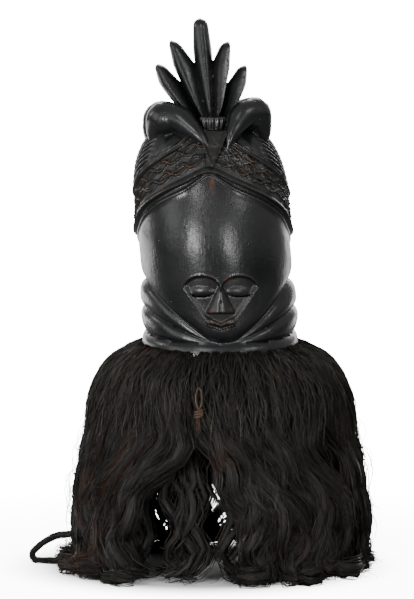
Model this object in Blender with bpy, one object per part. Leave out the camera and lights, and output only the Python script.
"""Sowei helmet mask: a hollow wooden helmet, carved in one piece, on its skirt of raffia hanks.

Lengths are metres and +Z is up. The mask faces -Y. An angle round the mask is measured from the
front, and grows towards +X. A front view looks a little down on the mask, so a point that stands
forward shows lower there: its sight height is its height less SIGHT times how far forward it is.
"""

import math

import bpy
import bmesh
import numpy as np
from mathutils import Vector

# Sizes of the whole
RIM_Z = 0.2840
CROWN_Z = 0.6060
SIGHT = 0.114
FOOTPRINT_MIDDLE = (-0.0248, 0.0040)
GAP = 0.0004
RIM_GAP = 0.0016

# The carving's upright sections: (height, value)
LEAN = ((0.292, 0.0044), (0.345, 0.0035), (0.378, 0.0012), (0.422, -0.0016), (0.459, -0.0050),
        (0.500, -0.0068), (0.530, -0.0095), (0.565, -0.0120), (0.606, -0.0140))
HEAD_WIDTH = ((0.292, 0.090), (0.340, 0.0955), (0.370, 0.0985), (0.395, 0.1005), (0.422, 0.1020),
              (0.445, 0.1020), (0.470, 0.1005), (0.505, 0.1000), (0.530, 0.0965), (0.550, 0.0925),
              (0.567, 0.0860), (0.578, 0.0800), (0.589, 0.0725), (0.598, 0.0600), (0.606, 0.0300))
HEAD_FRONT = ((0.292, 0.112), (0.317, 0.1150), (0.345, 0.1180), (0.380, 0.1220), (0.410, 0.1260),
              (0.440, 0.1280), (0.470, 0.1260), (0.500, 0.1190), (0.525, 0.1100), (0.548, 0.0995),
              (0.567, 0.0900), (0.578, 0.0830), (0.589, 0.0730), (0.598, 0.0600), (0.606, 0.0300))
HEAD_BACK = ((0.292, 0.108), (0.360, 0.1120), (0.410, 0.1180), (0.450, 0.1210), (0.490, 0.1200),
             (0.525, 0.1120), (0.550, 0.1010), (0.567, 0.0910), (0.578, 0.0840), (0.589, 0.0740),
             (0.598, 0.0600), (0.606, 0.0300))
NECK_WIDTH = ((0.292, 0.0985), (0.325, 0.0975), (0.350, 0.1000), (0.380, 0.0985), (0.410, 0.0950))
NECK_FRONT = ((0.292, 0.1120), (0.325, 0.1060), (0.350, 0.1020), (0.400, 0.0980))
NECK_BACK = ((0.292, 0.1140), (0.325, 0.1100), (0.350, 0.1090), (0.410, 0.1060))
ROUNDNESS = 2.15

# Jaw, neck rolls and rim
CHIN_X = 0.0047
CHIN_SIGHT = 0.3037
CHIN_FORWARD = 0.118
JAW_TIP = 0.030
JAW_SLOPE = 1.10
JAW_SIDE_X = 0.104
JAW_EDGE = 0.020
JAW_DROP = 0.0095
ROLLS_FOOT = ((0, 0.3160), (30, 0.3175), (60, 0.3200), (90, 0.3230), (180, 0.3235))
ROLL_COUNT = 2
ROLL_BULGE = 0.0062
ROLL_SHARE = 0.30
ROLL_SQUARENESS, ROLL_SOFTNESS = 2.6, 0.75
RIM_BULGE = 0.0072
RIM_SKEW, RIM_SQUARENESS, RIM_SOFTNESS = 1.5, 3.0, 0.6

# Hair: the band that borders the forehead, two rows of interlace, and pleats above
HAIRLINE = ((0, 0.5480), (3, 0.5474), (8, 0.5438), (17, 0.5350), (29, 0.5240), (45, 0.5080),
            (60, 0.4920), (76, 0.4730), (90, 0.4600), (115, 0.4460), (150, 0.4380), (180, 0.4360))
HAIR_PROUD = 0.0048
BAND_RIDGE = 0.0026
BAND_STEP = 0.0110
ROW_RISES = (0.0175, 0.0350)
ROW_HALF = 0.0062
CELL_ANGLE = 12.0
STRAND_WIDTH = 0.0021
STRAND_HEIGHT = 0.0026
CELL_DEPTH = 0.0030
BORDER_RISE = 0.0500
PLEAT_ANGLE = 22.5
PLEAT_HEIGHT = 0.0030
WEDGE_CLEAR = 0.022

# Face, as it shows from the front
FACE_TOP, FACE_BOTTOM = 0.3800, 0.3220
FACE_HALF_TOP, FACE_HALF_BOTTOM = 0.0490, 0.0090
FACE_RECESS = 0.0048
BROW_X, BROW_Z, BROW_HALF, BROW_RISE, BROW_LINE = 0.0255, 0.3785, 0.0250, 0.0185, 0.0010
LID_X, LID_Z, LID_HALF, LID_RISE = 0.0262, 0.3740, 0.0185, 0.0075
LID_HEIGHT = 0.0038
LID_SLIT_DROP, LID_SLIT_BOW, LID_GROOVE = 0.0062, 0.0040, 0.0022
NOSE_TOP, NOSE_FOOT = 0.3800, 0.3465
NOSE_HALF_TOP, NOSE_HALF_FOOT = 0.0040, 0.0210
NOSE_HEIGHT_TOP, NOSE_HEIGHT_FOOT = 0.0050, 0.0130
NOSE_GROOVE, NOSE_GROOVE_HALF = 0.0012, 0.0014
LIP_X_HALF = 0.0200
LIP_TOP, LIP_SLIT, LIP_FOOT = 0.3320, 0.3277, 0.3225
LIP_SLOPE, LIP_SLIT_SLOPE, LIP_FOOT_SLOPE = 0.48, 0.26, 0.36
LIP_EDGE = 0.0017
LIP_HEIGHT, LOWER_LIP = 0.0046, 0.85
EYE_SLIT_Z, EYE_SLIT_LENGTH, EYE_SLIT_HEIGHT = 0.3806, 0.0300, 0.0020
EYE_CUT_FORWARD, EYE_CUT_DEPTH = 0.105, 0.060

# The hollow, and the flat seat under its crown
HOLLOW_WIDTH = ((0.270, 0.0830), (0.400, 0.0830), (0.480, 0.0810), (0.515, 0.0700), (0.540, 0.0420))
HOLLOW_DEPTH = ((0.270, 0.0930), (0.380, 0.0940), (0.440, 0.1000), (0.490, 0.0930), (0.515, 0.0770),
                (0.540, 0.0450))
HOLLOW_FOOT, SEAT_Z = 0.270, 0.540

# Hair lobes: (x, forward, height, radius) along the front pair; the back pair mirrors them and is moved
# by its own (x, height)
LOBE_LEFT = ((-0.010, 0.084, 0.5760, 0.0010), (-0.020, 0.078, 0.5880, 0.0075),
             (-0.036, 0.064, 0.6020, 0.0140), (-0.052, 0.050, 0.6120, 0.0195),
             (-0.068, 0.038, 0.6115, 0.0240), (-0.077, 0.031, 0.5995, 0.0185),
             (-0.082, 0.027, 0.5840, 0.0100), (-0.083, 0.026, 0.5770, 0.0020))
LOBE_RIGHT = ((0.013, 0.084, 0.5720, 0.0010), (0.018, 0.078, 0.5900, 0.0070),
              (0.026, 0.064, 0.6055, 0.0130), (0.038, 0.050, 0.6165, 0.0190),
              (0.050, 0.038, 0.6160, 0.0215), (0.060, 0.031, 0.6020, 0.0160),
              (0.064, 0.027, 0.5850, 0.0090), (0.065, 0.026, 0.5765, 0.0020))
LOBE_BACK_LEFT, LOBE_BACK_RIGHT = (-0.0050, -0.0060), (-0.0030, -0.0090)
LOBE_SIDES, LOBE_RINGS = 10, 11
LOBE_DEPTH, LOBE_EDGE, LOBE_EDGE_TURN, LOBE_EDGE_WIDTH = 1.10, 0.10, 0.6, 0.35

# Crest: (middle x, tip x, tip height, half width to the left, half width to the right, taper) of each
# blade, on one foot
CREST_FOOT = (-0.0060, 0.5850)
CREST_BLADES = ((-0.0480, -0.0786, 0.6836, 0.0136, 0.0168, 0.62),
                (-0.0375, -0.0612, 0.7155, 0.0118, 0.0218, 0.66),
                (-0.0165, -0.0230, 0.7454, 0.0120, 0.0130, 0.25),
                (0.0060, 0.0149, 0.7140, 0.0188, 0.0088, 0.62),
                (0.0225, 0.0375, 0.6820, 0.0192, 0.0080, 0.62))
CREST_DEPTH_FOOT, CREST_DEPTH_TIP = 0.0560, 0.0100
CREST_FORWARD = 0.0060
BLADE_SIDES, BLADE_RINGS = 8, 10
BLADE_FULL, BLADE_ROUND, BLADE_FOOT_WIDTH = 0.74, 0.93, 0.35

# Knot and wedge below the crest
KNOT_X, KNOT_FORWARD, KNOT_Z = -0.0060, 0.0560, 0.6070
KNOT_RADIUS, KNOT_FLARE, KNOT_HEIGHT, KNOT_FLUTES, KNOT_GROOVE = 0.0160, 0.0030, 0.0180, 14, 0.055
# Half width, how far forward, thickness and height of the wedge's two ends
WEDGE_TOP = (0.0215, 0.0760, 0.0480, 0.6000)
WEDGE_FOOT = (0.0012, 0.1050, 0.0300, 0.5560)

# Mesh density of the carving before and after its small faces are joined
HEAD_COLUMNS, HEAD_ROWS = 220, 150
RIM_ROWS = 5
ROW_TURN = math.radians(72)
SWEEP_STOPS = 241
CARVING_FACES = 0.0342
HOLLOW_COLUMNS, HOLLOW_ROWS = 24, 12

# Raffia skirt: heights of the sections of an outer hank, from the rim to the floor, how far the skirt
# reaches past the rim there, how thick its outer layer is, and the widest half of one hank
HANK_Z = (0.3035, 0.2990, 0.2880, 0.2680, 0.2350, 0.1950, 0.1500, 0.1000, 0.0500, 0.0000)
SKIRT_REACH = (0.0050, 0.0220, 0.0400, 0.0560, 0.0700, 0.0770, 0.0870, 0.0960, 0.0980, 0.0960)
OUTER_THICK = (0.0120, 0.0290, 0.0450, 0.0480, 0.0440, 0.0390, 0.0360, 0.0350, 0.0360, 0.0330)
WIDEST_HALF = (0.0090, 0.0130, 0.0200, 0.0240, 0.0240, 0.0230, 0.0210, 0.0200, 0.0190, 0.0170)
FRONT_SPREAD = 0.80
# Angles of the front hanks at the rim, then at the last five sections
FRONT_HANKS = ((-84, -90, -92, -92, -94, -94), (-66, -72, -78, -82, -80, -80),
               (-52, -56, -66, -71, -69, -69), (-39, -39, -49, -60, -58, -58),
               (-26, -23, -32, -45, -46, -46), (-8, -1, 8, 14, 16, 16), (7, 12, 20, 27, 31, 31),
               (22, 24, 34, 42, 47, 47), (41, 38, 46, 57, 64, 64), (60, 65, 68, 75, 80, 80),
               (77, 88, 88, 90, 95, 95))
BACK_HANKS = 12
BACK_FIRST, BACK_LAST = 108, 254
INNER_HANKS = 12
INNER_FIRST = 12
INNER_Z = (RIM_Z - GAP, 0.2600, 0.2200, 0.1700, 0.1200, 0.0600, 0.0000)
INNER_THICK = (0.0120, 0.0180, 0.0240, 0.0260, 0.0270, 0.0270, 0.0250)
INNER_WIDEST = (0.0100, 0.0150, 0.0190, 0.0190, 0.0180, 0.0170, 0.0160)
LAYER_GAP = 0.0030
SWAY = 3.5
HANK_SIDES, INNER_SIDES = 6, 6
HANK_SQUARENESS = 0.75
SLEEVE_COLUMNS, SLEEVE_ROWS, SLEEVE_TOP = 60, 8, 0.3150

# The floor loop at the left: (x, forward, height) along it
LOOP_ROUTE = ((-0.1945, -0.022, 0.0410), (-0.2170, -0.031, 0.0370), (-0.2400, -0.034, 0.0250),
              (-0.2520, -0.030, 0.0120), (-0.2470, -0.022, 0.0050), (-0.2300, -0.017, 0.0047),
              (-0.1990, -0.015, 0.0047))
LOOP_RADIUS = 0.0042
LOOP_SIDES, LOOP_RINGS = 6, 12
# The tie that lies on the hank beside the parting: (forward, height, radius) down to its tail
TIE_X = -0.0243
TIE_ROUTE = ((0.1540, 0.2780, 0.0022), (0.1655, 0.2620, 0.0040), (0.1728, 0.2460, 0.0056),
             (0.1738, 0.2380, 0.0056), (0.1712, 0.2270, 0.0022), (0.1698, 0.2160, 0.0013))
TIE_SIDES, TIE_RINGS = 7, 9


def clear_scene():
    """Remove every object, and give back a collection for the parts and one for the cutters."""
    for thing in list(bpy.data.objects):
        bpy.data.objects.remove(thing, do_unlink=True)
    made = []
    for name in ("sowei_helmet_mask", "cutters"):
        collection = bpy.data.collections.new(name)
        bpy.context.scene.collection.children.link(collection)
        made.append(collection)
    return made


def material(name, colour, roughness):
    """A plain finish for one part."""
    finish = bpy.data.materials.new(name)
    finish.use_nodes = True
    shader = finish.node_tree.nodes["Principled BSDF"]
    shader.inputs["Base Color"].default_value = (*colour, 1.0)
    shader.inputs["Roughness"].default_value = roughness
    shader.inputs["Metallic"].default_value = 0.0
    return finish


def smooth(at, knots):
    """Read a curve without overshoot through (place, value) knots."""
    places, values = np.array(knots, dtype=float).T
    steps = np.diff(places)
    slopes = np.diff(values) / steps
    tangents = np.zeros_like(values)
    tangents[0], tangents[-1] = slopes[0], slopes[-1]
    before, after = slopes[:-1], slopes[1:]
    same = before * after > 0
    wide = steps[:-1] + 2 * steps[1:], 2 * steps[:-1] + steps[1:]
    tangents[1:-1][same] = (3 * (steps[:-1] + steps[1:])[same]
                            / (wide[0][same] / before[same] + wide[1][same] / after[same]))
    at = np.clip(at, places[0], places[-1])
    i = np.clip(np.searchsorted(places, at) - 1, 0, len(steps) - 1)
    u = (at - places[i]) / steps[i]
    return (values[i] * (1 + 2 * u) * (1 - u) ** 2 + values[i + 1] * u * u * (3 - 2 * u)
            + steps[i] * (tangents[i] * u * (1 - u) ** 2 + tangents[i + 1] * u * u * (u - 1)))


def ramp(value, low, high):
    """Rise smoothly from 0 at low to 1 at high."""
    u = np.clip((value - low) / (high - low), 0, 1)
    return u * u * (3 - 2 * u)


def crest_line(distance, half_width):
    """A rounded ridge, 1 on its line."""
    return np.exp(-(distance / half_width) ** 2)


def section(angle, z, width, front, back):
    """Radius of a level section with its own half width, front and back."""
    across = np.abs(np.sin(angle)) / smooth(z, width)
    depth = np.where(np.cos(angle) > 0, smooth(z, front), smooth(z, back))
    along = np.abs(np.cos(angle)) / depth
    return (across ** ROUNDNESS + along ** ROUNDNESS) ** (-1 / ROUNDNESS)


def jaw_height(angle):
    """Height of the lower edge of the head, which dips to the chin in front."""
    side = np.where(np.cos(angle) > 0, np.abs(np.sin(angle)), 1.0)
    across = JAW_SLOPE * (JAW_SIDE_X * side - np.sign(np.sin(angle)) * CHIN_X * (1 - side))
    forward = CHIN_FORWARD * np.clip(np.cos(angle), 0, 1)
    return CHIN_SIGHT + np.hypot(JAW_TIP, across) - JAW_TIP + SIGHT * forward


def neck_radius(angle, z):
    """Rim and neck rolls: each roll runs up from under the chin to its full height at the sides."""
    foot = smooth(np.abs(np.degrees(angle)), ROLLS_FOOT)
    full = np.maximum(jaw_height(angle) - foot, 1e-4)
    turns = np.clip((z - foot) / full, 0, 1) * ROLL_COUNT
    across = 2 * (turns - np.floor(np.minimum(turns, ROLL_COUNT - 1e-6))) - 1
    bulge = np.maximum(1 - np.abs(across) ** ROLL_SQUARENESS, 0) ** ROLL_SOFTNESS
    height = np.minimum(ROLL_BULGE, ROLL_SHARE * full / ROLL_COUNT)
    rim_across = 1.92 * np.clip((z - RIM_Z) / (foot - RIM_Z), 0, 1) ** RIM_SKEW - 0.96
    rim = RIM_BULGE * np.maximum(1 - np.abs(rim_across) ** RIM_SQUARENESS, 0) ** RIM_SOFTNESS
    neck = section(angle, z, NECK_WIDTH, NECK_FRONT, NECK_BACK)
    return neck + np.where(z < foot, rim, height * bulge)


def face_relief(x, s):
    """Height of the face's carving at x beside its middle line and sight height s."""
    side = np.abs(x)
    up = (s - FACE_BOTTOM) / (FACE_TOP - FACE_BOTTOM)
    half = FACE_HALF_BOTTOM + (FACE_HALF_TOP - FACE_HALF_BOTTOM) * up
    brow_across = np.clip(np.abs(side - BROW_X) / BROW_HALF, 0, 1)
    brow = BROW_Z + BROW_RISE * np.sqrt(1 - brow_across ** 2)
    inside = ramp(np.minimum(half, FACE_HALF_TOP + 0.002) - side, -0.0010, 0.0035)
    inside = inside * ramp(brow - s, 0.0, 0.0022) * ramp(s, FACE_BOTTOM - 0.002, FACE_BOTTOM + 0.010)
    relief = -FACE_RECESS * inside
    relief += BROW_LINE * crest_line(s - brow, 0.0016) * (side < BROW_X + BROW_HALF)
    relief += lid_relief(side, s) + nose_relief(x, s) + lip_relief(side, s)
    return relief


def lid_relief(side, s):
    """The closed upper lid, an almond cut off below by its slit."""
    across = (side - LID_X) / LID_HALF
    slit = LID_Z - LID_SLIT_DROP + LID_SLIT_BOW * across ** 2
    dome = np.maximum(1 - across ** 2 - ((s - LID_Z) / LID_RISE) ** 2, 0) ** 0.6
    inside = (np.abs(across) < 1) * ramp(s - slit, -0.0004, 0.0006)
    groove = crest_line(s - slit, 0.0012) * (np.abs(across) < 0.95)
    return LID_HEIGHT * dome * inside - LID_GROOVE * groove


def nose_relief(x, s):
    """A wedge that widens and rises to its tip, with a groove down the middle."""
    down = np.clip((NOSE_TOP - s) / (NOSE_TOP - NOSE_FOOT), 0, 1)
    half = NOSE_HALF_TOP + (NOSE_HALF_FOOT - NOSE_HALF_TOP) * down
    height = NOSE_HEIGHT_TOP + (NOSE_HEIGHT_FOOT - NOSE_HEIGHT_TOP) * down
    roof = np.maximum(1 - (np.abs(x) / half) ** 1.5, 0)
    within = ramp(s, NOSE_FOOT - 0.0018, NOSE_FOOT + 0.0012) * ramp(NOSE_TOP + 0.004 - s, 0, 0.006)
    groove = NOSE_GROOVE * crest_line(x, NOSE_GROOVE_HALF) * ramp(NOSE_FOOT + 0.018 - s, 0, 0.006)
    return within * (height * roof - groove)


def lip_relief(side, s):
    """Two lips that meet in a slit and rise to the corners of the mouth."""
    top = LIP_TOP + LIP_SLOPE * side
    slit = LIP_SLIT + LIP_SLIT_SLOPE * side
    foot = LIP_FOOT + LIP_FOOT_SLOPE * side
    upper = ramp(s, slit, slit + LIP_EDGE) * ramp(top - s, 0, LIP_EDGE)
    lower = ramp(s, foot, foot + LIP_EDGE) * ramp(slit - s, 0, LIP_EDGE)
    within = ramp(LIP_X_HALF - side, 0, 0.004)
    return LIP_HEIGHT * within * (upper + LOWER_LIP * lower)


def hair_relief(angle, z):
    """Band, interlace and pleats above the hairline."""
    degrees = np.abs(np.degrees(angle))
    rise = z - smooth(degrees, HAIRLINE)
    relief = HAIR_PROUD * ramp(rise, -0.004, 0.0)
    relief += BAND_RIDGE * crest_line(rise, 0.0030)
    relief += BAND_RIDGE * crest_line(rise + BAND_STEP * ramp(degrees, -12, 20), 0.0026)
    beside = ramp(degrees * 0.0017, WEDGE_CLEAR * 0.6, WEDGE_CLEAR)
    lattice = np.zeros_like(rise)
    for row, middle in enumerate(ROW_RISES):
        phase = math.pi * (degrees / CELL_ANGLE - 0.5 * row)
        half = ROW_HALF * np.abs(np.sin(phase))
        off = np.abs(rise - middle)
        lattice += STRAND_HEIGHT * crest_line(off - half, STRAND_WIDTH)
        lattice -= CELL_DEPTH * ramp(half - off, 0.0, 0.0030)
    field = ramp(rise, 0.004, 0.009) * ramp(BORDER_RISE - rise, 0.002, 0.006)
    relief += beside * (lattice - 0.0010) * field
    relief += beside * BAND_RIDGE * crest_line(rise - BORDER_RISE, 0.0026)
    pleat = np.abs(((degrees / PLEAT_ANGLE + 0.3) % 1.0) * 2 - 1)
    relief += beside * PLEAT_HEIGHT * (pleat - 0.6) * ramp(rise, BORDER_RISE + 0.002, BORDER_RISE + 0.008)
    return relief * ramp(CROWN_Z - z, 0.002, 0.012)


def carving_radius(angle, z):
    """Radius of the whole carved skin about the leaning middle line."""
    neck = neck_radius(angle, z)
    head = section(angle, z, HEAD_WIDTH, HEAD_FRONT, HEAD_BACK)
    above = np.clip((z - jaw_height(angle)) / JAW_EDGE, 0, 1)
    head = head - JAW_DROP * (1 - np.sqrt(1 - (1 - above) ** 2))
    head = head + hair_relief(angle, z)
    middle = smooth(z, LEAN)
    x = middle + head * np.sin(angle) - CHIN_X
    sight = z - SIGHT * head * np.cos(angle)
    front = ramp(np.cos(angle), 0.55, 0.70)
    head = head + front * face_relief(x, sight)
    return np.where(z > jaw_height(angle), head, neck)


def place(x, forward, z):
    """A point in the part's frame, from x, how far forward it is, and its height."""
    return Vector((x - FOOTPRINT_MIDDLE[0], -forward - FOOTPRINT_MIDDLE[1], z))


def new_object(name, mesh_builder, collection, finish):
    """Make an object from a function that fills a bmesh."""
    mesh = bpy.data.meshes.new(name)
    body = bmesh.new()
    mesh_builder(body)
    bmesh.ops.recalc_face_normals(body, faces=body.faces)
    if body.calc_volume(signed=True) < 0:
        bmesh.ops.reverse_faces(body, faces=body.faces)
    body.to_mesh(mesh)
    body.free()
    mesh.shade_smooth()
    mesh.set_sharp_from_angle(angle=math.radians(50))
    mesh.materials.append(finish)
    thing = bpy.data.objects.new(name, mesh)
    collection.objects.link(thing)
    return thing


def sphere_grid(body, columns, rows):
    """Add a sphere, and give each of its points as (point, turn in radians, share of the way up)."""
    made = bmesh.ops.create_uvsphere(body, u_segments=columns, v_segments=rows, radius=1.0)
    grid = []
    for point in made["verts"]:
        turn = math.atan2(point.co.x, -point.co.y)
        share = 0.5 + math.asin(max(-1.0, min(1.0, point.co.z))) / math.pi
        grid.append((point, turn, share))
    return grid


def carve_head(body):
    """Shape a sphere into rim, neck, face, hair and crown."""
    grid = sphere_grid(body, HEAD_COLUMNS, HEAD_ROWS)
    turns = np.array([turn for _, turn, _ in grid])
    steps = np.array([share for _, _, share in grid]) * HEAD_ROWS
    up = np.clip((steps - RIM_ROWS) / (HEAD_ROWS - RIM_ROWS), 0, 1)
    heights = RIM_Z + (CROWN_Z - RIM_Z) * np.sin(up * ROW_TURN) / math.sin(ROW_TURN)
    radii = carving_radius(turns, heights) * np.clip(steps / RIM_ROWS, 0, 1)
    radii[steps > HEAD_ROWS - 0.5] = 0.0
    middles = smooth(heights, LEAN)
    for (point, turn, _), height, radius, middle in zip(grid, heights, radii, middles):
        point.co = place(middle + radius * math.sin(turn), radius * math.cos(turn), height)


def carve_hollow(body):
    """Shape a sphere into the space for the wearer's head, flat at its crown."""
    for point, turn, share in sphere_grid(body, HOLLOW_COLUMNS, HOLLOW_ROWS):
        up = min(max((share * HOLLOW_ROWS - 1) / (HOLLOW_ROWS - 2), 0.0), 1.0)
        height = HOLLOW_FOOT + (SEAT_Z - HOLLOW_FOOT) * math.sin(up * math.pi / 2)
        at = np.array([height])
        wide, deep = float(smooth(at, HOLLOW_WIDTH)[0]), float(smooth(at, HOLLOW_DEPTH)[0])
        size = 0.0 if share < 0.01 or share > 0.99 else 1.0
        middle = float(smooth(at, LEAN)[0])
        wide, deep = size * wide, size * deep
        point.co = place(middle + wide * math.sin(turn), deep * math.cos(turn), height)


def carried_normals(heads):
    """A direction square to the route at each point, carried along it without a twist."""
    over = Vector((0.0, 1.0, 0.0))
    if abs(Vector(heads[0]).dot(over)) > 0.7:
        over = Vector((0.0, 0.0, 1.0))
    carried = []
    for head in heads:
        head = Vector(head)
        over = (over - head * over.dot(head)).normalized()
        carried.append(over)
    return carried


def swept(body, route, radii, sides, rings, outline=None):
    """Shape a sphere into a body along a route of points, with a radius at each.

    The outline gives a section's reach by the angle round it, as a share of the radius."""
    route = np.array(route, dtype=float)
    stops = np.linspace(0, 1, len(route))
    reading = np.linspace(0, 1, SWEEP_STOPS)
    fine = np.array([smooth(reading, list(zip(stops, route[:, i]))) for i in range(3)]).T
    sizes = smooth(reading, list(zip(stops, radii)))
    heads = np.gradient(fine, axis=0)
    heads /= np.linalg.norm(heads, axis=1)[:, None]
    overs = carried_normals(heads)
    for point, turn, share in sphere_grid(body, sides, rings):
        step = (1 - share) * rings
        along = min(max((step - 1) / (rings - 2), 0.0), 1.0)
        i = int(round(along * (SWEEP_STOPS - 1)))
        over = overs[i]
        side = Vector(heads[i]).cross(over)
        size = 0.0 if share < 0.01 or share > 0.99 else float(sizes[i])
        reach = size * (outline(turn) if outline else 1.0)
        at = Vector(fine[i]) + reach * (math.sin(turn) * side + math.cos(turn) * over)
        point.co = place(at.x, -at.y, at.z)


def lobe_outline(turn):
    """A lobe's section: fuller in depth than in height, with a soft edge along its front."""
    off = math.remainder(turn - LOBE_EDGE_TURN, math.tau) / LOBE_EDGE_WIDTH
    body = 1.0 / math.sqrt(math.sin(turn) ** 2 + (math.cos(turn) / LOBE_DEPTH) ** 2)
    return body + LOBE_EDGE * math.exp(-off ** 2)


def make_lobe(name, shape, side, shift, collection, finish):
    """One curled hair lobe, in front with side 1 or behind with side -1, moved by (x, height)."""
    route = [(x + shift[0], -side * forward, z + shift[1]) for x, forward, z, _ in shape]
    radii = [radius for _, _, _, radius in shape]

    def shape_lobe(body):
        swept(body, route, radii, LOBE_SIDES, LOBE_RINGS, lobe_outline)

    return new_object(name, shape_lobe, collection, finish)


def make_blade(name, blade, collection, finish):
    """One blade of the crest: four faces that meet in a ridge in front, behind and at each side."""
    middle_x, tip_x, tip_z, half_left, half_right, taper = blade
    foot_x, foot_z = CREST_FOOT
    bow_x = 2 * middle_x - (foot_x + tip_x) / 2

    def shape(body):
        for point, turn, share in sphere_grid(body, BLADE_SIDES, BLADE_RINGS):
            x = (1 - share) ** 2 * foot_x + 2 * share * (1 - share) * bow_x + share ** 2 * tip_x
            half_width = half_right if math.sin(turn) > 0 else half_left
            wide, deep = blade_halves(share, half_width, taper)
            z = foot_z + (tip_z - foot_z) * share
            point.co = place(x + wide * math.sin(turn), CREST_FORWARD + deep * math.cos(turn), z)

    return new_object(name, shape, collection, finish)


def blade_halves(up, half_width, narrowing):
    """Half width and half depth of a blade, a share of the way up from its foot."""
    if up < 0.01:
        return 0.0, 0.0
    end = math.sqrt(max(1 - (max(up - BLADE_ROUND, 0.0) / (1 - BLADE_ROUND)) ** 2, 0.0))
    swell = math.sin(math.pi / 2 * min(up / BLADE_FULL, 1))
    taper = 1 - narrowing * max(up - BLADE_FULL, 0.0) / (1 - BLADE_FULL)
    wide = half_width * (BLADE_FOOT_WIDTH + (1 - BLADE_FOOT_WIDTH) * swell) * taper
    deep = CREST_DEPTH_FOOT + (CREST_DEPTH_TIP - CREST_DEPTH_FOOT) * up ** 0.80
    return wide * end, deep * end


def make_knot(collection, finish):
    """The fluted knot in front of the crest's foot."""
    def shape(body):
        made = bmesh.ops.create_cone(body, cap_ends=True, segments=KNOT_FLUTES * 2, depth=KNOT_HEIGHT,
                                     radius1=KNOT_RADIUS, radius2=KNOT_RADIUS + KNOT_FLARE)
        for point in made["verts"]:
            turn = math.atan2(point.co.x, point.co.y)
            flute = 1.0 - KNOT_GROOVE * (1 - math.cos(turn * KNOT_FLUTES))
            forward = KNOT_FORWARD - point.co.y * flute
            point.co = place(KNOT_X + point.co.x * flute, forward, KNOT_Z + point.co.z)
    return new_object("knot", shape, collection, finish)


def make_wedge(collection, finish):
    """The wedge below the knot: a slab in the shape of a triangle that stands on its point."""
    def shape(body):
        made = bmesh.ops.create_cube(body, size=1.0)
        for point in made["verts"]:
            if point.co.z > 0:
                half, forward, thick, z = WEDGE_TOP
            else:
                half, forward, thick, z = WEDGE_FOOT
            at = forward if point.co.y < 0 else forward - thick
            point.co = place(KNOT_X + math.copysign(half, point.co.x), at, z)
    return new_object("wedge", shape, collection, finish)


def boolean(target, tool, operation):
    """Join a hidden body to the target, or cut it from it."""
    step = target.modifiers.new(f"{operation.lower()}_{tool.name}", "BOOLEAN")
    step.operation = operation
    step.object = tool
    step.solver = "EXACT"
    tool.hide_render = True
    tool.display_type = "WIRE"


def eye_cutters(collection, finish):
    """Two thin slots, one through the wall under each lid."""
    cutters = []
    for side in (-1, 1):
        def shape(body, side=side):
            made = bmesh.ops.create_cube(body, size=1.0)
            for point in made["verts"]:
                x = CHIN_X + side * LID_X + point.co.x * EYE_SLIT_LENGTH
                forward = EYE_CUT_FORWARD - point.co.y * EYE_CUT_DEPTH
                point.co = place(x, forward, EYE_SLIT_Z + point.co.z * EYE_SLIT_HEIGHT)
        cutters.append(new_object(f"eye_slit_{side}", shape, collection, finish))
    return cutters


def make_mask(parts, cutters, finish):
    """Carve the helmet mask: skin, lobes and crest joined, then hollowed and pierced."""
    mask = new_object("helmet_mask", carve_head, parts, finish)
    joined = [make_knot(cutters, finish), make_wedge(cutters, finish)]
    for name, shape, back in (("left", LOBE_LEFT, LOBE_BACK_LEFT), ("right", LOBE_RIGHT, LOBE_BACK_RIGHT)):
        for place_name, side, shift in (("front", 1, (0.0, 0.0)), ("back", -1, back)):
            joined.append(make_lobe(f"lobe_{place_name}_{name}", shape, side, shift, cutters, finish))
    for number, blade in enumerate(CREST_BLADES, 1):
        joined.append(make_blade(f"blade_{number}", blade, cutters, finish))
    fewer = mask.modifiers.new("fewer_faces", "DECIMATE")
    fewer.ratio = CARVING_FACES
    fewer.use_collapse_triangulate = True
    for tool in joined:
        boolean(mask, tool, "UNION")
    hollow = new_object("hollow", carve_hollow, cutters, finish)
    for tool in [hollow] + eye_cutters(cutters, finish):
        boolean(mask, tool, "DIFFERENCE")


def ring_radius(angle):
    """Reach of the rim where the outer hanks leave it."""
    at = np.array([HANK_Z[1]])
    return float(carving_radius(np.array([math.radians(angle)]), at)[0])


def at_height(z, values):
    """Read one of the skirt's rows of sizes at a height."""
    return float(smooth(np.array([-z]), [(-height, value) for height, value in zip(HANK_Z, values)])[0])


def skirt_radius(angle, z):
    """Distance of the skirt's outside from the middle line."""
    spread = 1 - (1 - FRONT_SPREAD) * math.cos(math.radians(angle)) ** 2
    return ring_radius(angle) + at_height(z, SKIRT_REACH) * spread


def outer_angles():
    """Angles of each outer hank at its sections, in order round the skirt."""
    rows = []
    for front in FRONT_HANKS:
        straight = len(HANK_Z) - len(front) + 1
        rows.append([front[0]] * (straight - 1) + [(2 * front[0] + front[1]) / 3] + list(front[1:]))
    for number in range(BACK_HANKS):
        base = BACK_FIRST + (BACK_LAST - BACK_FIRST) * number / (BACK_HANKS - 1)
        rows.append([base + part for part in sway(number, len(HANK_Z))])
    return rows


def sway(number, count):
    """How far a hank that hangs freely swings to one side and back on its way down."""
    swings = [SWAY * math.sin(0.95 * step + 2.4 * number) * min(step / 5, 1) for step in range(count - 1)]
    return swings + swings[-1:]


def inner_angles():
    """Angles of each inner hank at its sections."""
    rows = []
    for number in range(INNER_HANKS):
        base = INNER_FIRST + 360 * number / INNER_HANKS
        rows.append([base + part for part in sway(number + 0.4, len(INNER_Z))])
    return rows


def hank_halves(rows, number, step, widest, radius):
    """Half widths, as angles, that a hank may take to its left and right before it meets a neighbour."""
    here = rows[number][step]
    before = rows[number - 1][step] - (360 if number == 0 else 0)
    after = rows[(number + 1) % len(rows)][step] + (360 if number == len(rows) - 1 else 0)
    clear = math.degrees(1.5 * GAP / radius)
    most = math.degrees(widest / radius)
    return min(most, (here - before) / 2 - clear), min(most, (after - here) / 2 - clear)


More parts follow.
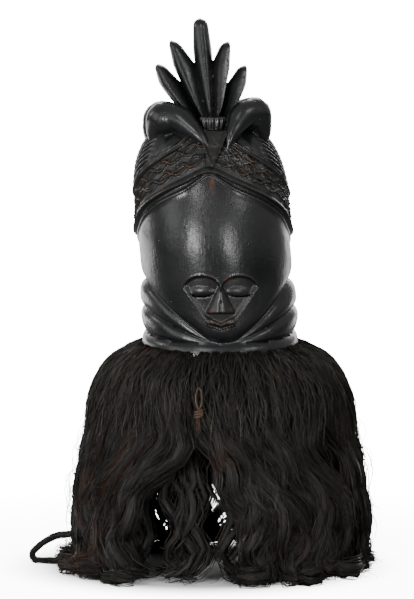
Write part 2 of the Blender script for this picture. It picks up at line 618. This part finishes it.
def hank_sections(rows, number, heights, outside, thick, widest):
    """The level sections of one hank: (height, angle, left half, right half, inside, outside)."""
    sections = []
    for step, z in enumerate(heights):
        angle = rows[number][step]
        reach = outside(angle, z)
        left, right = hank_halves(rows, number, step, widest[step], reach)
        sections.append((z, angle, left, right, reach - thick[step], reach))
    return sections


def squared(value):
    """A sine drawn out towards its ends, for a fuller section."""
    return math.copysign(abs(value) ** HANK_SQUARENESS, value)


def hank_body(body, sections, sides):
    """Shape a sphere into a stack of level sections, with a flat end at each end."""
    rings = len(sections) + 1
    for point, turn, share in sphere_grid(body, sides, rings):
        step = min(max(round((1 - share) * rings) - 1, 0), len(sections) - 1)
        z, angle, left, right, inside, outside = sections[step]
        size = 0.0 if share < 0.01 or share > 0.99 else 1.0
        across = size * squared(math.sin(turn))
        angle += across * (right if across > 0 else left)
        radius = (inside + outside) / 2 + size * squared(math.cos(turn)) * (outside - inside) / 2
        middle = float(smooth(np.array([max(z, RIM_Z)]), LEAN)[0])
        turn = math.radians(angle)
        point.co = place(middle + radius * math.sin(turn), radius * math.cos(turn), z)


def make_sleeve(collection, finish):
    """The rim's own shape and a thin gap round it, to fit the ends of the hanks against the rim."""
    def shape(body):
        for point, turn, share in sphere_grid(body, SLEEVE_COLUMNS, SLEEVE_ROWS):
            up = min(max((share * SLEEVE_ROWS - 1) / (SLEEVE_ROWS - 2), 0.0), 1.0)
            height = RIM_Z - GAP + (SLEEVE_TOP - RIM_Z) * up
            radius = float(carving_radius(np.array([turn]), np.array([max(height, RIM_Z)]))[0]) + RIM_GAP
            if share < 0.01 or share > 0.99:
                radius = 0.0
            middle = float(smooth(np.array([height]), LEAN)[0])
            point.co = place(middle + radius * math.sin(turn), radius * math.cos(turn), height)
    return new_object("rim_sleeve", shape, collection, finish)


def make_hanks(parts, cutters, finish):
    """Make every hank as its own closed solid, flat where it stands on the floor."""
    sleeve = make_sleeve(cutters, finish)
    rows = outer_angles()
    for number in range(len(rows)):
        sections = hank_sections(rows, number, HANK_Z, skirt_radius, OUTER_THICK, WIDEST_HALF)
        hank = new_object(f"raffia_hank_{number + 1:02d}",
                          lambda body: hank_body(body, sections, HANK_SIDES), parts, finish)
        boolean(hank, sleeve, "DIFFERENCE")

    def inside_skirt(angle, z):
        return skirt_radius(angle, z) - at_height(z, OUTER_THICK) - LAYER_GAP

    rows = inner_angles()
    for number in range(len(rows)):
        sections = hank_sections(rows, number, INNER_Z, inside_skirt, INNER_THICK, INNER_WIDEST)
        new_object(f"raffia_inner_hank_{number + 1:02d}",
                   lambda body: hank_body(body, sections, INNER_SIDES), parts, finish)


def make_floor_loop(parts, finish):
    """The thin hank end that loops out over the floor at the left."""
    route = [(x, -forward, z) for x, forward, z in LOOP_ROUTE]
    radii = [LOOP_RADIUS] * len(route)
    new_object("raffia_floor_loop", lambda body: swept(body, route, radii, LOOP_SIDES, LOOP_RINGS),
               parts, finish)


def make_tie(parts, finish):
    """The knotted tie: a doubled strand down to a knot, and a tail below it."""
    route = [(TIE_X, -forward, z) for forward, z, _ in TIE_ROUTE]
    radii = [radius for _, _, radius in TIE_ROUTE]
    new_object("raffia_tie", lambda body: swept(body, route, radii, TIE_SIDES, TIE_RINGS), parts, finish)


def main():
    parts, cutters = clear_scene()
    make_mask(parts, cutters, material("blackened_wood", (0.018, 0.019, 0.021), 0.34))
    make_hanks(parts, cutters, material("dark_raffia", (0.022, 0.017, 0.013), 0.80))
    make_floor_loop(parts, material("loop_raffia", (0.020, 0.016, 0.013), 0.80))
    make_tie(parts, material("tie_raffia", (0.060, 0.035, 0.022), 0.85))


main()
